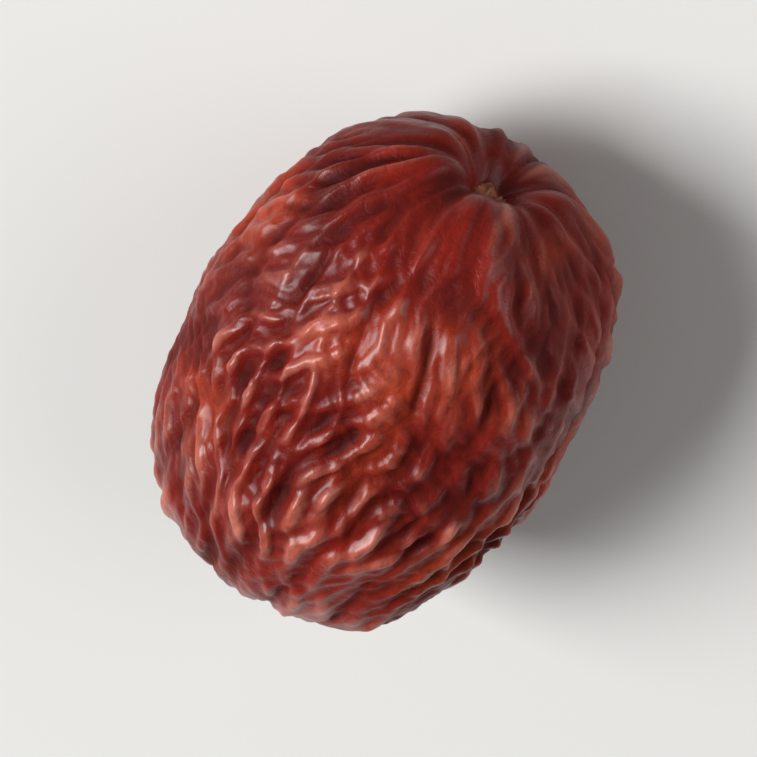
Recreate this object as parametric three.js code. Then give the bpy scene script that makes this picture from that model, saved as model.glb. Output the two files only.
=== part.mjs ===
// A small dried red jujube of the chicken-heart kind, lying on its side.
// It is one wrinkled fruit: a plump barrel that has dried and shrunk, so that its skin
// stands in folds and wrinkles that run from the stem cavity to the dimpled tip.
// Millimetres, +Z up. X runs along the fruit, with the stem end at +X.
// The origin is under the middle of the fruit, on the surface that it lies on.

import * as THREE from 'three';

// Driving dimensions of the plump outline, before the wrinkles
const LENGTH = 26.3;
const WIDTH = 19.2;
const HEIGHT = 17.8;
const BARREL_POWER = 2.35; // 2 is an ellipsoid, more is a squarer barrel
const TAPER = 0.015; // how much the stem end is wider and the tip end narrower
const AXIS_RISE = THREE.MathUtils.degToRad(5); // the stem cavity sits a little high, the tip low

// The flat spot that it lies on, pressed in at the underside
const FLAT_DEPTH = 0.5;
const FLAT_BLEND = 1.3; // height over which the wrinkles fade out towards the flat spot

// The stem cavity at the +X end, with the lip and the pleats around it.
// The wrinkles start at one distance from the axis and have their full height at the next.
const CAVITY_DEPTH = 2.3;
const CAVITY_RADIUS = 1.75;
const STEM_CLEAR = [0.9, 3.2];
const LIP_HEIGHT = 0.15;
const LIP_RADIUS = 2.9;
const LIP_WIDTH = 1.3;
const PLEATS = 9;
const PLEAT_HEIGHT = 0.16;

// The dimple at the tip, the -X end
const TIP_DEPTH = 0.8;
const TIP_RADIUS = 1.6;
const TIP_CLEAR = [0.4, 3.0];

// The relief of the skin: broad dents, long folds and the main wrinkles.
// Each is a set of short wave trains: how many, their wavelength, how far each one reaches,
// how far the crests swing away from lengthwise over the fruit, in radians, and how far they
// jitter from one train to the next. The patches only set where the skin is slack.
const DENTS = { seed: 41, count: 40, wavelength: 12, reach: 6, swing: 1.5, jitter: 1.5 };
const FOLDS = { seed: 7, count: 120, wavelength: 6.4, reach: 4.4, swing: 0.45, jitter: 0.6 };
const WRINKLES = { seed: 19, count: 560, wavelength: 3.0, reach: 3.1, swing: 0.35, jitter: 0.45 };
const PATCHES = { seed: 77, count: 60, wavelength: 14, reach: 6, swing: 1.5, jitter: 1.5 };
const SWING_WAVE = new THREE.Vector3(0.33, 0, 0.29); // how fast the swing changes, per millimetre
const SWING_BEND = 0.21;
const END_SWING = 0.15; // share of the swing left at the ends, which the crests run straight into
const DENT_HEIGHT = 0.14;
const FOLD_HEIGHT = 0.6;
const WRINKLE_HEIGHT = 0.68;

// The wrinkles' share of their height where the skin is tightest and where it is slackest
const TIGHTEST = 0.3;
const SLACKEST = 1.2;

// Places where the skin stayed nearly smooth, how wide they are, and what share of the wrinkles
// they take away
const TAUT_LOSS = 0.75;
const TAUT_SPOTS = [
  { centre: new THREE.Vector3(11.2, 1.6, 5.6), width: 3.2 },
  { centre: new THREE.Vector3(4.6, 0.8, 8.6), width: 2.6 },
];

// The mesh is made of rings round the axis, from the tip to the stem end. Its cells are longer
// than wide, as the wrinkles are. Near the ends the rings are closer and have fewer points.
const RINGS = 52;
const RING_POINTS = 160;
const RING_CROWDING = 0.35; // 0 spaces the rings evenly
const SMALLEST_GAP = 0.26; // between two points of a ring

const GOLDEN_TURN = Math.PI * (3 - Math.sqrt(5));
const HALF = new THREE.Vector3(LENGTH / 2, WIDTH / 2, HEIGHT / 2);
const AXIS = new THREE.Vector3(Math.cos(AXIS_RISE), 0, Math.sin(AXIS_RISE));
const AXIS_UP = new THREE.Vector3(-Math.sin(AXIS_RISE), 0, Math.cos(AXIS_RISE));
const SIDEWAYS = new THREE.Vector3(0, 1, 0);

// A repeatable row of draws from 0 to 1
function drawsFrom(seed) {
  let state = seed;
  return () => {
    state = (state * 16807) % 2147483647;
    return state / 2147483647;
  };
}

// The smooth plump outline in a direction from the fruit's middle
function plumpPoint(direction) {
  const widen = 1 + TAPER * direction.x;
  const lengthwise = Math.abs(direction.x) / HALF.x;
  const across = Math.hypot(direction.y / HALF.y, direction.z / HALF.z) / widen;
  const reach = (lengthwise ** BARREL_POWER + across ** BARREL_POWER) ** (-1 / BARREL_POWER);
  return direction.clone().multiplyScalar(reach);
}

function plumpNormal(point) {
  return point.clone().divide(HALF).divide(HALF).normalize();
}

// Where a point is round the fruit's axis: its angle, and its distance from it
function angleOf(point) {
  return Math.atan2(point.dot(AXIS_UP), point.y);
}

function radiusOf(point) {
  return Math.hypot(point.y, point.dot(AXIS_UP));
}

// Short wave trains laid evenly over the outline, with their crests mostly lengthwise.
// Where they overlap they run into each other, fork and end, as wrinkles do.
function waveTrains({ seed, count, wavelength, reach, swing, jitter }) {
  const draw = drawsFrom(seed);
  const trains = [];
  for (let i = 0; i < count; i += 1) {
    const x = 1 - (2 * (i + 0.5)) / count;
    const turn = i * GOLDEN_TURN + draw();
    const ring = Math.sqrt(1 - x * x);
    const centre = plumpPoint(new THREE.Vector3(x, ring * Math.cos(turn), ring * Math.sin(turn)));
    const outward = plumpNormal(centre);
    const around = outward.clone().cross(AXIS).normalize();
    const along = around.cross(outward);
    const drift = Math.sin(centre.dot(SWING_WAVE) + 2 * Math.sin(SWING_BEND * centre.y + seed));
    const straighten = 1 + END_SWING - (centre.x / HALF.x) ** 2;
    const tilt = (swing * drift + jitter * (draw() - 0.5)) * straighten;
    const pitch = (2 * Math.PI) / (wavelength * (0.85 + 0.3 * draw()));
    trains.push({
      centre,
      centreAngle: angleOf(centre),
      aroundWave: -pitch * Math.cos(tilt) * radiusOf(centre),
      alongWave: along.multiplyScalar(pitch * Math.sin(tilt)),
      phase: 2 * Math.PI * draw(),
      reach,
    });
  }
  return trains;
}

// The height of the overlapping wave trains at a point, about -2 to 2
function swell(trains, point) {
  const angle = angleOf(point);
  const offset = new THREE.Vector3();
  let sum = 0;
  let power = 0;
  for (const { centre, centreAngle, aroundWave, alongWave, phase, reach } of trains) {
    offset.subVectors(point, centre);
    const turn = THREE.MathUtils.euclideanModulo(angle - centreAngle + Math.PI, 2 * Math.PI) - Math.PI;
    const weight = Math.exp(-offset.lengthSq() / (2 * reach * reach)) * (1 + Math.cos(turn));
    sum += weight * Math.cos(aroundWave * turn + offset.dot(alongWave) + phase);
    power += weight * weight;
  }
  return sum / Math.sqrt(power / 2);
}

// Broad rounded crests between narrow creases
function puffed(height) {
  const size = Math.hypot(height, 0.3);
  return size / (size + 0.8) - 0.5;
}

// Narrow crests between broad hollows
function ridged(height) {
  const size = Math.hypot(height, 0.45);
  return 0.6 - size / (size + 0.7);
}

function bell(distance, width) {
  return Math.exp(-((distance / width) ** 2));
}

// The cavity, its lip and pleats at the stem end, and the dimple at the tip
function endRelief(point) {
  const radius = radiusOf(point);
  if (point.x < 0) {
    return -TIP_DEPTH * bell(radius, TIP_RADIUS);
  }
  const angle = angleOf(point);
  const pleat = Math.cos(PLEATS * angle + 1.3 * Math.sin(2 * angle + 1));
  return (
    (LIP_HEIGHT + PLEAT_HEIGHT * pleat) * bell(radius - LIP_RADIUS, LIP_WIDTH) -
    CAVITY_DEPTH * bell(radius, CAVITY_RADIUS)
  );
}

// How slack the skin is at a point, which sets how high the wrinkles stand there
function slackness(patches, point) {
  const patch = THREE.MathUtils.smoothstep(swell(patches, point), -0.9, 0.9);
  let taut = 0;
  for (const { centre, width } of TAUT_SPOTS) {
    taut += bell(point.distanceTo(centre), width);
  }
  return THREE.MathUtils.lerp(TIGHTEST, SLACKEST, patch) * (1 - TAUT_LOSS * Math.min(taut, 1));
}

// The directions of one ring's points from the middle, for a share from 0 at the tip to 1 at the stem
function ringDirections(share) {
  const slant = Math.PI * share - (RING_CROWDING / 2) * Math.sin(2 * Math.PI * share);
  const middle = AXIS.clone().multiplyScalar(-Math.cos(slant));
  if (share === 0 || share === 1) {
    return [middle];
  }
  const girth = 2 * Math.PI * plumpPoint(new THREE.Vector3(-Math.cos(slant), Math.sin(slant), 0)).y;
  let count = RING_POINTS;
  while (girth / count < SMALLEST_GAP) {
    count /= 2;
  }
  return Array.from({ length: count }, (_, i) => {
    const turn = (2 * Math.PI * i) / count;
    return middle
      .clone()
      .addScaledVector(SIDEWAYS, Math.sin(slant) * Math.cos(turn))
      .addScaledVector(AXIS_UP, Math.sin(slant) * Math.sin(turn));
  });
}

// Joins two neighbouring rings with triangles, whose sides follow the crests where they can
function stitch(faces, heights, lower, upper) {
  const steps = Math.max(lower.length, upper.length);
  const pick = (ring, step) => ring[Math.floor((step * ring.length) / steps) % ring.length];
  for (let i = 0; i < steps; i += 1) {
    const a = pick(lower, i);
    const b = pick(lower, i + 1);
    const c = pick(upper, i);
    const d = pick(upper, i + 1);
    const alongAD = Math.abs(heights[a] - heights[d]) < Math.abs(heights[b] - heights[c]);
    if (a === b) {
      faces.push(a, d, c);
    } else if (c === d) {
      faces.push(a, b, c);
    } else if (alongAD) {
      faces.push(a, b, d, a, d, c);
    } else {
      faces.push(a, b, c, b, d, c);
    }
  }
}

function makeFruit() {
  const dents = waveTrains(DENTS);
  const folds = waveTrains(FOLDS);
  const wrinkles = waveTrains(WRINKLES);
  const patches = waveTrains(PATCHES);
  const floor = FLAT_DEPTH - HALF.z;
  const { smoothstep } = THREE.MathUtils;

  const rings = [];
  const places = [];
  const heights = [];
  for (let row = 0; row <= RINGS; row += 1) {
    const ring = [];
    for (const direction of ringDirections(row / RINGS)) {
      const point = plumpPoint(direction);
      const radius = radiusOf(point);
      const clearOfFlat = smoothstep(point.z, floor, floor + FLAT_BLEND);
      const clearOfEnds = smoothstep(radius, ...(point.x > 0 ? STEM_CLEAR : TIP_CLEAR));
      const relief =
        FOLD_HEIGHT * puffed(swell(folds, point)) +
        WRINKLE_HEIGHT * slackness(patches, point) * ridged(swell(wrinkles, point));
      const height =
        clearOfFlat * (DENT_HEIGHT * swell(dents, point) + clearOfEnds * relief) + endRelief(point);
      point.addScaledVector(plumpNormal(point), height);
      ring.push(heights.length);
      heights.push(height);
      places.push(point.x, point.y, Math.max(point.z, floor));
    }
    rings.push(ring);
  }

  const faces = [];
  for (let row = 0; row < RINGS; row += 1) {
    stitch(faces, heights, rings[row], rings[row + 1]);
  }
  const skin = new THREE.BufferGeometry();
  skin.setAttribute('position', new THREE.Float32BufferAttribute(places, 3));
  skin.setIndex(faces);

  // Stand it on the surface, with the origin under the middle of its box
  skin.computeBoundingBox();
  const box = skin.boundingBox;
  const middle = box.getCenter(new THREE.Vector3());
  skin.translate(-middle.x, -middle.y, -box.min.z);
  skin.computeVertexNormals();
  return skin;
}

const driedSkin = new THREE.MeshStandardMaterial({ color: 0x6e1d14, roughness: 0.45, metalness: 0 });
const fruit = new THREE.Mesh(makeFruit(), driedSkin);
fruit.name = 'fruit';

const group = new THREE.Group();
group.add(fruit);

export default group;
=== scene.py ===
"""A small dried red jujube lying on its side, seen from above and a little from its stem end."""

import math

import bpy
import numpy as np
from mathutils import Matrix, Vector


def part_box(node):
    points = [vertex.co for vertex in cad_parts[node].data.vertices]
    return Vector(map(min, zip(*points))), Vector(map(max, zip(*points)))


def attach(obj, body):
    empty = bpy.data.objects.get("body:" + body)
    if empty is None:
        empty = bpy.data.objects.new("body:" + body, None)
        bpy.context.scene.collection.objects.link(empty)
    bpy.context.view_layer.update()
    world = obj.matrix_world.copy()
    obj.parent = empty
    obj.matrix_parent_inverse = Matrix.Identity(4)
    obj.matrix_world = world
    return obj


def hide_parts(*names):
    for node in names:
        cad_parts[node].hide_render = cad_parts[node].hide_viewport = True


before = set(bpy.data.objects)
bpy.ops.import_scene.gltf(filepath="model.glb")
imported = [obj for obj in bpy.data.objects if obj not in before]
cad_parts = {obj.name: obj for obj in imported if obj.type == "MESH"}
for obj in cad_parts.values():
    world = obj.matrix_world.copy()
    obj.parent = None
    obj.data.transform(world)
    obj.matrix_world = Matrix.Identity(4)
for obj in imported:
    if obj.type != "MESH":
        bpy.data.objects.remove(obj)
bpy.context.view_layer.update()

# The plump outline
# Before it dried, the fruit was a smooth blunt barrel with a thin tight skin. Every wrinkle
# below is raised from this outline. Millimetres, X along the fruit, with the stem end at +X.

LENGTH, WIDTH, HEIGHT = 26.3, 19.2, 17.8
HALF_SIZES = np.array([LENGTH, WIDTH, HEIGHT]) / 2
BARREL_POWER = 2.35
TAPER = 0.015
AXIS_RISE = math.radians(5)
AXIS = np.array([math.cos(AXIS_RISE), 0, math.sin(AXIS_RISE)])
AXIS_UP = np.array([-math.sin(AXIS_RISE), 0, math.cos(AXIS_RISE)])
GRID_CUTS = 125
WELD_STEPS = 1e5


def ball_grid(cuts):
    """Directions spread evenly over a ball, as six welded square grids, with their faces."""
    steps = np.tan(np.linspace(-math.pi / 4, math.pi / 4, cuts + 1))
    u, v = (side.ravel() for side in np.meshgrid(steps, steps, indexing="ij"))
    one = np.ones(u.size)
    sides = [(one, u, v), (-one, v, u), (v, one, u), (u, -one, v), (u, v, one), (v, u, -one)]
    directions = np.concatenate([np.stack(side, axis=1) for side in sides])
    directions /= np.linalg.norm(directions, axis=1)[:, None]
    number = np.arange((cuts + 1) ** 2).reshape(cuts + 1, cuts + 1)
    corners = (number[:-1, :-1], number[1:, :-1], number[1:, 1:], number[:-1, 1:])
    one_side = np.stack(corners, axis=-1).reshape(-1, 4)
    faces = np.concatenate([one_side + side * number.size for side in range(len(sides))])
    keys = np.round(directions * WELD_STEPS).astype(np.int64)
    _, first, welded = np.unique(keys, axis=0, return_index=True, return_inverse=True)
    directions, faces = directions[first], welded.ravel()[faces]
    a, b, c = (directions[faces[:, corner]] for corner in range(3))
    inside_out = (np.cross(b - a, c - a) * a).sum(axis=1) < 0
    faces[inside_out] = faces[inside_out][:, ::-1]
    return directions, faces


def plump_points(directions):
    """Where the smooth outline lies in each direction from the fruit's middle."""
    widen = 1 + TAPER * directions[:, 0]
    lengthwise = np.abs(directions[:, 0]) / HALF_SIZES[0]
    across = np.hypot(directions[:, 1] / HALF_SIZES[1], directions[:, 2] / HALF_SIZES[2]) / widen
    reach = (lengthwise ** BARREL_POWER + across ** BARREL_POWER) ** (-1 / BARREL_POWER)
    return directions * reach[:, None]


def plump_normals(points):
    """The way that the skin faces at points of the smooth outline."""
    normals = points / HALF_SIZES ** 2
    return normals / np.linalg.norm(normals, axis=1)[:, None]


def turn_and_radius(points):
    """Where points are round the fruit's axis: their angle, and their distance from it."""
    rise = points @ AXIS_UP
    return np.arctan2(rise, points[:, 1]), np.hypot(points[:, 1], rise)


directions, faces = ball_grid(GRID_CUTS)
plump = plump_points(directions)
outward = plump_normals(plump)
angle, radius = turn_and_radius(plump)

# The dried skin's relief
# As the flesh shrank, the skin gave way in broad dents, long folds and finer and finer wrinkles.
# They run from the stem cavity to the tip, and fork and run into each other on their way.

# Each size of wrinkle is a set of short wave trains, laid evenly over the outline. Swing is how
# far their crests turn from lengthwise over the fruit, and jitter from one train to the next.
DENTS = dict(seed=41, count=40, wavelength=12, reach=6, swing=1.5, jitter=1.5)
FOLDS = dict(seed=7, count=120, wavelength=6.4, reach=4.4, swing=0.45, jitter=0.6)
WRINKLES = dict(seed=19, count=560, wavelength=3.0, reach=3.1, swing=0.35, jitter=0.45)
STREAKS = dict(seed=29, count=1900, wavelength=1.4, reach=1.5, swing=0.6, jitter=0.7)
HAIRLINES = dict(seed=53, count=2600, wavelength=0.85, reach=0.62, swing=0.9, jitter=1.2)
PATCHES = dict(seed=77, count=60, wavelength=14, reach=6, swing=1.5, jitter=1.5)
SWING_WAVE = np.array([0.33, 0, 0.29])
SWING_BEND, SWING_WANDER = 0.21, 2
END_SWING = 0.15
SHORTEST_PITCH, PITCH_SPREAD = 0.85, 0.3
DENT_HEIGHT = 0.14
FOLD_HEIGHT = 0.6
WRINKLE_HEIGHT = 0.68
STREAK_HEIGHT = 0.3
HAIRLINE_HEIGHT = 0.08
GOLDEN_TURN = math.pi * (3 - math.sqrt(5))
TRAIN_LIMIT = 3.2  # times its reach, where a train has faded out
FAINTEST = 1e-12


def draws_from(seed):
    """A repeatable row of draws from 0 to 1."""
    state = seed
    while True:
        state = (state * 16807) % 2147483647
        yield state / 2147483647


def wave_trains(seed, count, wavelength, reach, swing, jitter):
    """Each train's middle and angle, how its wave runs round and along the fruit, and its phase."""
    draws = draws_from(seed)
    trains = []
    for i in range(count):
        x = 1 - 2 * (i + 0.5) / count
        turn = i * GOLDEN_TURN + next(draws)
        ring = math.sqrt(1 - x * x)
        centres = plump_points(np.array([[x, ring * math.cos(turn), ring * math.sin(turn)]]))
        (centre,), (normal,) = centres, plump_normals(centres)
        (centre_angle,), (centre_radius,) = turn_and_radius(centres)
        around = np.cross(normal, AXIS)
        around /= np.linalg.norm(around)
        along = np.cross(around, normal)
        wander = SWING_WANDER * math.sin(SWING_BEND * centre[1] + seed)
        drift = math.sin(centre @ SWING_WAVE + wander)
        straighten = 1 + END_SWING - (centre[0] / HALF_SIZES[0]) ** 2
        tilt = (swing * drift + jitter * (next(draws) - 0.5)) * straighten
        pitch = 2 * math.pi / (wavelength * (SHORTEST_PITCH + PITCH_SPREAD * next(draws)))
        around_wave = -pitch * math.cos(tilt) * centre_radius
        along_wave = pitch * math.sin(tilt) * along
        trains.append((centre, centre_angle, around_wave, along_wave, 2 * math.pi * next(draws)))
    return trains, reach


def swell(trains, reach):
    """The height of the overlapping trains at each point of the outline, about -2 to 2."""
    height = np.zeros(len(plump))
    power = np.full(len(plump), FAINTEST)
    by_x = np.argsort(plump[:, 0])
    sorted_x = plump[by_x, 0]
    limit = TRAIN_LIMIT * reach
    for centre, centre_angle, around_wave, along_wave, phase in trains:
        start, end = np.searchsorted(sorted_x, [centre[0] - limit, centre[0] + limit])
        near = by_x[start:end]
        offset = plump[near] - centre
        square = (offset ** 2).sum(axis=1)
        close = square < limit * limit
        near, offset, square = near[close], offset[close], square[close]
        turn = (angle[near] - centre_angle + math.pi) % (2 * math.pi) - math.pi
        weight = np.exp(-square / (2 * reach * reach)) * (1 + np.cos(turn))
        height[near] += weight * np.cos(around_wave * turn + offset @ along_wave + phase)
        power[near] += weight * weight
    return height / np.sqrt(power / 2)


def puffed(height, rounding=0.3, fullness=0.8, middle=0.5):
    """Broad rounded crests between narrow creases."""
    size = np.hypot(height, rounding)
    return size / (size + fullness) - middle


def ridged(height, rounding=0.45, fullness=0.7, middle=0.6):
    """Narrow crests between broad hollows."""
    size = np.hypot(height, rounding)
    return middle - size / (size + fullness)


def drawn_up(height, steepness=0.9, sharpness=0.3, half_height=0.5):
    """Rounded hollows between crests that are a little sharper."""
    return half_height * np.tanh(steepness * (height + sharpness * (height ** 2 - 1)))


def smoothstep(value, low, high):
    """Rises smoothly from 0 at low to 1 at high."""
    t = np.clip((value - low) / (high - low), 0, 1)
    return t * t * (3 - 2 * t)


def bell(distance, width):
    """Falls smoothly from 1 in the middle to nearly 0 at twice the width."""
    return np.exp(-(distance / width) ** 2)


dents = DENT_HEIGHT * swell(*wave_trains(**DENTS))
folds = FOLD_HEIGHT * puffed(swell(*wave_trains(**FOLDS)))
wrinkles = WRINKLE_HEIGHT * ridged(swell(*wave_trains(**WRINKLES)))
streaks = STREAK_HEIGHT * drawn_up(swell(*wave_trains(**STREAKS)))
hairlines = HAIRLINE_HEIGHT * drawn_up(swell(*wave_trains(**HAIRLINES)))

# The skin is slack in some patches and tighter in others, and two spots stayed nearly smooth.
# The slacker it is, the higher the wrinkles stand. The streaks fade towards the axis too.
TIGHTEST, SLACKEST = 0.3, 1.2
PATCH_EDGES = (-0.9, 0.9)
TAUT_LOSS = 0.75
TAUT_SPOTS = [((11.2, 1.6, 5.6), 3.2), ((4.6, 0.8, 8.6), 2.6)]
STREAK_TIGHTEST = 0.3
STREAK_NEAR_AXIS = 0.4
STREAK_CLEAR = (2, 7)

patches = smoothstep(swell(*wave_trains(**PATCHES)), *PATCH_EDGES)
taut = sum(bell(np.linalg.norm(plump - np.array(spot), axis=1), width) for spot, width in TAUT_SPOTS)
slack = TIGHTEST + (SLACKEST - TIGHTEST) * patches
slack *= 1 - TAUT_LOSS * np.clip(taut, 0, 1)
streak_share = STREAK_TIGHTEST + (1 - STREAK_TIGHTEST) * slack
streak_share *= STREAK_NEAR_AXIS + (1 - STREAK_NEAR_AXIS) * smoothstep(radius, *STREAK_CLEAR)
relief = folds + slack * wrinkles + streak_share * streaks + hairlines

# The two ends
# At the stem end the skin is pleated into a cavity, with the corky scar of the lost stalk at its
# bottom. At the tip is a shallow dimple, with the dark stub of the flower's style.

CAVITY_DEPTH, CAVITY_RADIUS = 2.3, 1.75
LIP_HEIGHT, LIP_RADIUS, LIP_WIDTH = 0.15, 2.9, 1.3
PLEATS, PLEAT_HEIGHT, PLEAT_SHIFT = 9, 0.16, 1.3
SCAR_RADIUS, SCAR_FLAT_RADIUS, SCAR_HEIGHT = 0.95, 0.7125, 0.35
TIP_DEPTH, TIP_RADIUS = 0.8, 1.6
STUB_RADIUS, STUB_FLAT_RADIUS, STUB_HEIGHT = 0.3, 0.09, 0.5
STEM_CLEAR, TIP_CLEAR = (0.9, 3.2), (0.4, 3.0)

at_stem = plump[:, 0] > 0
pleats = np.cos(PLEATS * angle + PLEAT_SHIFT * np.sin(2 * angle + 1))
scar = at_stem * (1 - smoothstep(radius, SCAR_FLAT_RADIUS, SCAR_RADIUS))
stub = ~at_stem * (1 - smoothstep(radius, STUB_FLAT_RADIUS, STUB_RADIUS))
cavity = (LIP_HEIGHT + PLEAT_HEIGHT * pleats) * bell(radius - LIP_RADIUS, LIP_WIDTH)
cavity += SCAR_HEIGHT * scar - CAVITY_DEPTH * bell(radius, CAVITY_RADIUS)
dimple = STUB_HEIGHT * stub - TIP_DEPTH * bell(radius, TIP_RADIUS)
ends = np.where(at_stem, cavity, dimple)
clear_of_ends = np.where(at_stem, smoothstep(radius, *STEM_CLEAR), smoothstep(radius, *TIP_CLEAR))

# The whole fruit
# One piece: wrinkled skin grown onto its dried flesh. It lies on a small spot underneath that is
# pressed flat, where the wrinkles fade out.

FLAT_DEPTH = 0.5
FLAT_BLEND = 1.3

ground = FLAT_DEPTH - HEIGHT / 2
clear_of_flat = smoothstep(plump[:, 2], ground, ground + FLAT_BLEND)
relief *= clear_of_ends
shape = plump + outward * (clear_of_flat * (dents + relief) + ends)[:, None]
shape[:, 2] = np.maximum(shape[:, 2], ground)

low, high = (np.array(corner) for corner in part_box("fruit"))
shape -= shape.min(axis=0)
shape = low + shape / shape.max(axis=0) * (high - low)

mesh = bpy.data.meshes.new("dried_jujube")
mesh.from_pydata(shape.tolist(), [], faces.tolist())
mesh.shade_smooth()
for layer_name, values in (("relief", relief), ("scar", scar), ("stub", stub)):
    layer = mesh.attributes.new(layer_name, "FLOAT", "POINT")
    layer.data.foreach_set("value", values.astype(np.float32))

MAHOGANY = (0.095, 0.006, 0.004)
BRICK_RED = (0.185, 0.011, 0.006)
ORANGE_RED = (0.340, 0.040, 0.010)
# Next: painted shade for the furrows, crest wear with a painted glow, crest dust with a painted
# highlight
PAINTED_FURROW_SHADE = (0.034, 0.002, 0.002)
WORN_CREST_AND_PAINTED_GLOW = (0.430, 0.090, 0.052)
DUST_AND_PAINTED_HIGHLIGHT = (0.460, 0.185, 0.140)
CORK = (0.330, 0.115, 0.050)
CORK_DARK = (0.120, 0.035, 0.020)
FURROW_DULLNESS = 0.3
FILM_WEIGHT = 0.46
SKIN_FINISH = {
    "IOR": 1.46,
    "Specular IOR Level": 0.10,
    "Coat Roughness": 0.30,
    "Subsurface Weight": 0.05,
    "Subsurface Radius": (1.0, 0.22, 0.10),
    "Subsurface Scale": 0.0009,
}

skin = bpy.data.materials.new("dried_skin")
skin.use_nodes = True
nodes, links = skin.node_tree.nodes, skin.node_tree.links
place = nodes.new("ShaderNodeTexCoord").outputs["Object"]


def spread(value, low, high, to_low=0, to_high=1):
    """Spreads the range from low to high over another range."""
    node = nodes.new("ShaderNodeMapRange")
    node.inputs["From Min"].default_value = low
    node.inputs["From Max"].default_value = high
    node.inputs["To Min"].default_value = to_low
    node.inputs["To Max"].default_value = to_high
    links.new(value, node.inputs["Value"])
    return node.outputs["Result"]


def layer_value(name):
    """What the mesh says at each point about its height or its end."""
    layer = nodes.new("ShaderNodeAttribute")
    layer.attribute_name = name
    return layer.outputs["Fac"]


def mottle(size_mm, detail, twist=0.0):
    """Soft irregular patches about size_mm across, around 0.5."""
    noise = nodes.new("ShaderNodeTexNoise")
    noise.inputs["Scale"].default_value = 1000 / size_mm
    noise.inputs["Detail"].default_value = detail
    noise.inputs["Distortion"].default_value = twist
    links.new(place, noise.inputs["Vector"])
    return noise.outputs["Fac"]


def combine(operation, *values):
    """One step of arithmetic on masks, with plain numbers among them where they are needed."""
    node = nodes.new("ShaderNodeMath")
    node.operation = operation
    for socket, value in zip(node.inputs, values):
        if isinstance(value, float):
            socket.default_value = value
        else:
            links.new(value, socket)
    return node.outputs["Value"]


def tint(under, over, mask, strength=1.0):
    """Lays one colour over another where the mask is 1, at a strength from 0 to 1."""
    blend = nodes.new("ShaderNodeMix")
    blend.data_type = "RGBA"
    links.new(combine("MULTIPLY", mask, strength), blend.inputs["Factor"])
    for socket, colour in ((blend.inputs["A"], under), (blend.inputs["B"], over)):
        if isinstance(colour, tuple):
            socket.default_value = (*colour, 1)
        else:
            links.new(colour, socket)
    return blend.outputs["Result"]


def fine_relief(height, strength, depth_mm, under=None):
    """Relief too fine for the mesh, laid over coarser relief."""
    bump = nodes.new("ShaderNodeBump")
    bump.inputs["Strength"].default_value = strength
    bump.inputs["Distance"].default_value = depth_mm / 1000
    links.new(height, bump.inputs["Height"])
    if under is not None:
        links.new(under, bump.inputs["Normal"])
    return bump.outputs["Normal"]


# Red skin, painted shade in the furrows, wear and painted glow on crests, dust and painted highlight
height_mm = layer_value("relief")
on_crest = spread(height_mm, low=0.06, high=0.34)
in_furrow = spread(height_mm, low=-0.02, high=-0.30)
dark_patches = spread(mottle(size_mm=5.5, detail=4, twist=0.6), low=0.35, high=0.62)
orange_patches = spread(mottle(size_mm=7.0, detail=3), low=0.52, high=0.72)
freckles = spread(mottle(size_mm=0.45, detail=3), low=0.52, high=0.70)
# Patchy dust on the crests, which also serves as a painted pinkish highlight.
dust_and_highlight = combine("MULTIPLY", on_crest, spread(mottle(size_mm=2.2, detail=5), low=0.42, high=0.66))
colour = tint(MAHOGANY, BRICK_RED, dark_patches)
colour = tint(colour, ORANGE_RED, orange_patches, strength=0.75)
# The crests are lighter partly from wear and partly as a painted glow of light through the thin
# skin.
colour = tint(colour, WORN_CREST_AND_PAINTED_GLOW, on_crest, strength=0.6)
# Painted shade: the furrows are darkened where shade would fall in them.
colour = tint(colour, PAINTED_FURROW_SHADE, in_furrow, strength=0.92)
colour = tint(colour, MAHOGANY, freckles, strength=0.45)
# Dust on the crests, tinted pinkish partly as a painted highlight.
colour = tint(colour, DUST_AND_PAINTED_HIGHLIGHT, dust_and_highlight, strength=0.5)
cork = tint(CORK, CORK_DARK, spread(mottle(size_mm=0.35, detail=4), low=0.35, high=0.65))
colour = tint(colour, cork, layer_value("scar"))
colour = tint(colour, CORK_DARK, layer_value("stub"))

# Half-gloss that is duller in the furrows, with a thin tacky film on the crests
gloss = spread(mottle(size_mm=1.6, detail=5), low=0.35, high=0.70, to_low=0.28, to_high=0.52)
roughness = combine("MULTIPLY_ADD", in_furrow, FURROW_DULLNESS, gloss)
tacky_film = combine("MULTIPLY", spread(height_mm, low=-0.12, high=0.14), FILM_WEIGHT)

# Puckers, and the skin's own grain over them
pucker_height = spread(mottle(size_mm=0.7, detail=3, twist=1.2), low=0.3, high=0.7)
grain_height = spread(mottle(size_mm=0.22, detail=5), low=0.3, high=0.7)
puckers = fine_relief(pucker_height, strength=0.45, depth_mm=0.08)
grain = fine_relief(grain_height, strength=0.30, depth_mm=0.03, under=puckers)

bsdf = nodes["Principled BSDF"]
for finish_name, amount in SKIN_FINISH.items():
    bsdf.inputs[finish_name].default_value = amount
links.new(colour, bsdf.inputs["Base Color"])
links.new(roughness, bsdf.inputs["Roughness"])
links.new(tacky_film, bsdf.inputs["Coat Weight"])
links.new(grain, bsdf.inputs["Normal"])
mesh.materials.append(skin)

jujube = bpy.data.objects.new("dried_jujube", mesh)
bpy.context.scene.collection.objects.link(jujube)
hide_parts("fruit")
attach(jujube, "root")

# The floor
# A plain pale matt surface that the fruit lies on, which isn't part of it. It is large enough
# that its edge stays far from every view.

FLOOR_SIZE = 20
PAPER_WHITE = (0.56, 0.555, 0.54)
PAPER_ROUGHNESS = 0.9

bpy.ops.mesh.primitive_plane_add(size=FLOOR_SIZE)
floor = bpy.context.object
floor.name = "floor"
paper = bpy.data.materials.new("pale_paper")
paper.use_nodes = True
paper_bsdf = paper.node_tree.nodes["Principled BSDF"]
paper_bsdf.inputs["Base Color"].default_value = (*PAPER_WHITE, 1)
paper_bsdf.inputs["Roughness"].default_value = PAPER_ROUGHNESS
floor.data.materials.append(paper)

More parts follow.
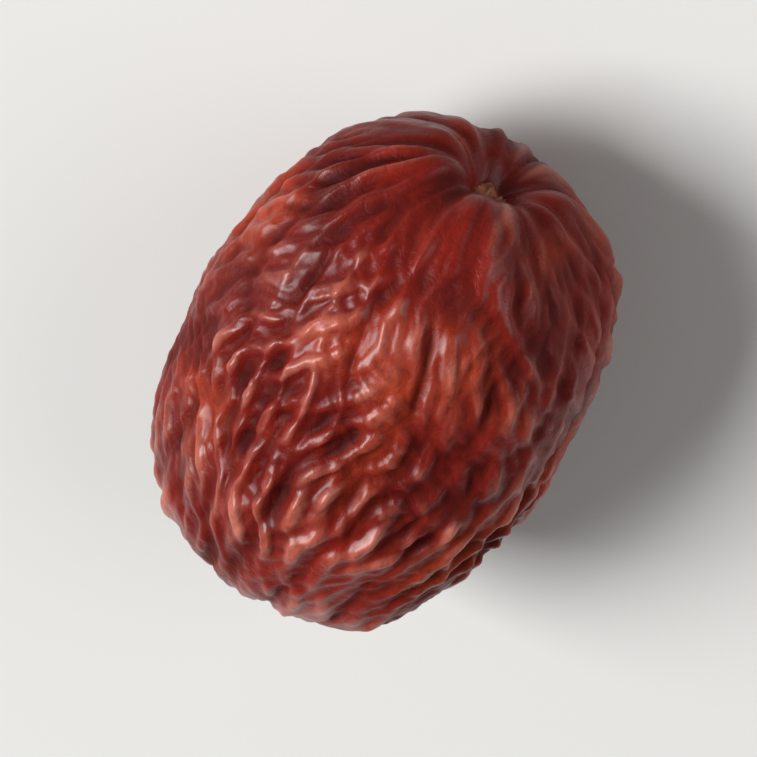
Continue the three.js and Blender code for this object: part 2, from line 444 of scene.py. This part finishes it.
# The light
# Plain soft studio light: one large lamp above the fruit's +Y side, a weaker one opposite, and a
# faint white surround.

KEY_PLACE, KEY_SIZE, KEY_POWER = (-0.21, 0.76, 0.84), 0.60, 21.5
FILL_PLACE, FILL_SIZE, FILL_POWER = (0.52, -0.54, 0.46), 0.60, 2.8
SURROUND_STRENGTH = 0.17
WHITE = (1, 1, 1, 1)

middle = Vector((low + high) / 2)


def soft_light(name, place, size, power):
    """A square lamp that faces the fruit."""
    light = bpy.data.lights.new(name, "AREA")
    light.energy = power
    light.size = size
    lamp = bpy.data.objects.new(name, light)
    lamp.location = place
    lamp.rotation_euler = (middle - Vector(place)).to_track_quat("-Z", "Y").to_euler()
    bpy.context.scene.collection.objects.link(lamp)


soft_light("key_light", KEY_PLACE, KEY_SIZE, KEY_POWER)
soft_light("fill_light", FILL_PLACE, FILL_SIZE, FILL_POWER)

world = bpy.data.worlds.new("soft_surround")
bpy.context.scene.world = world
world.use_nodes = True
surround = world.node_tree.nodes["Background"]
surround.inputs["Color"].default_value = WHITE
surround.inputs["Strength"].default_value = SURROUND_STRENGTH

# The camera
# It looks down on the fruit, leaning towards the stem end, and is turned about its own line of
# sight so that the stem end shows at the upper right.

CAMERA_LEAN = math.radians(28)
STEM_DIRECTION = math.radians(59)
CAMERA_DISTANCE = 0.136
LENS = 135
NEAREST_SEEN = 0.005

back = Vector((math.sin(CAMERA_LEAN), 0, math.cos(CAMERA_LEAN)))
stem_way = (Vector((1, 0, 0)) - back * back.x).normalized()
beside = back.cross(stem_way)
right = stem_way * math.cos(STEM_DIRECTION) - beside * math.sin(STEM_DIRECTION)
camera_data = bpy.data.cameras.new("camera")
camera_data.lens = LENS
camera_data.clip_start = NEAREST_SEEN
camera = bpy.data.objects.new("camera", camera_data)
bpy.context.scene.collection.objects.link(camera)
facing = Matrix((right, back.cross(right), back)).transposed().to_4x4()
camera.matrix_world = Matrix.Translation(middle + back * CAMERA_DISTANCE) @ facing
bpy.context.scene.camera = camera
bpy.context.scene.view_settings.view_transform = "Standard"
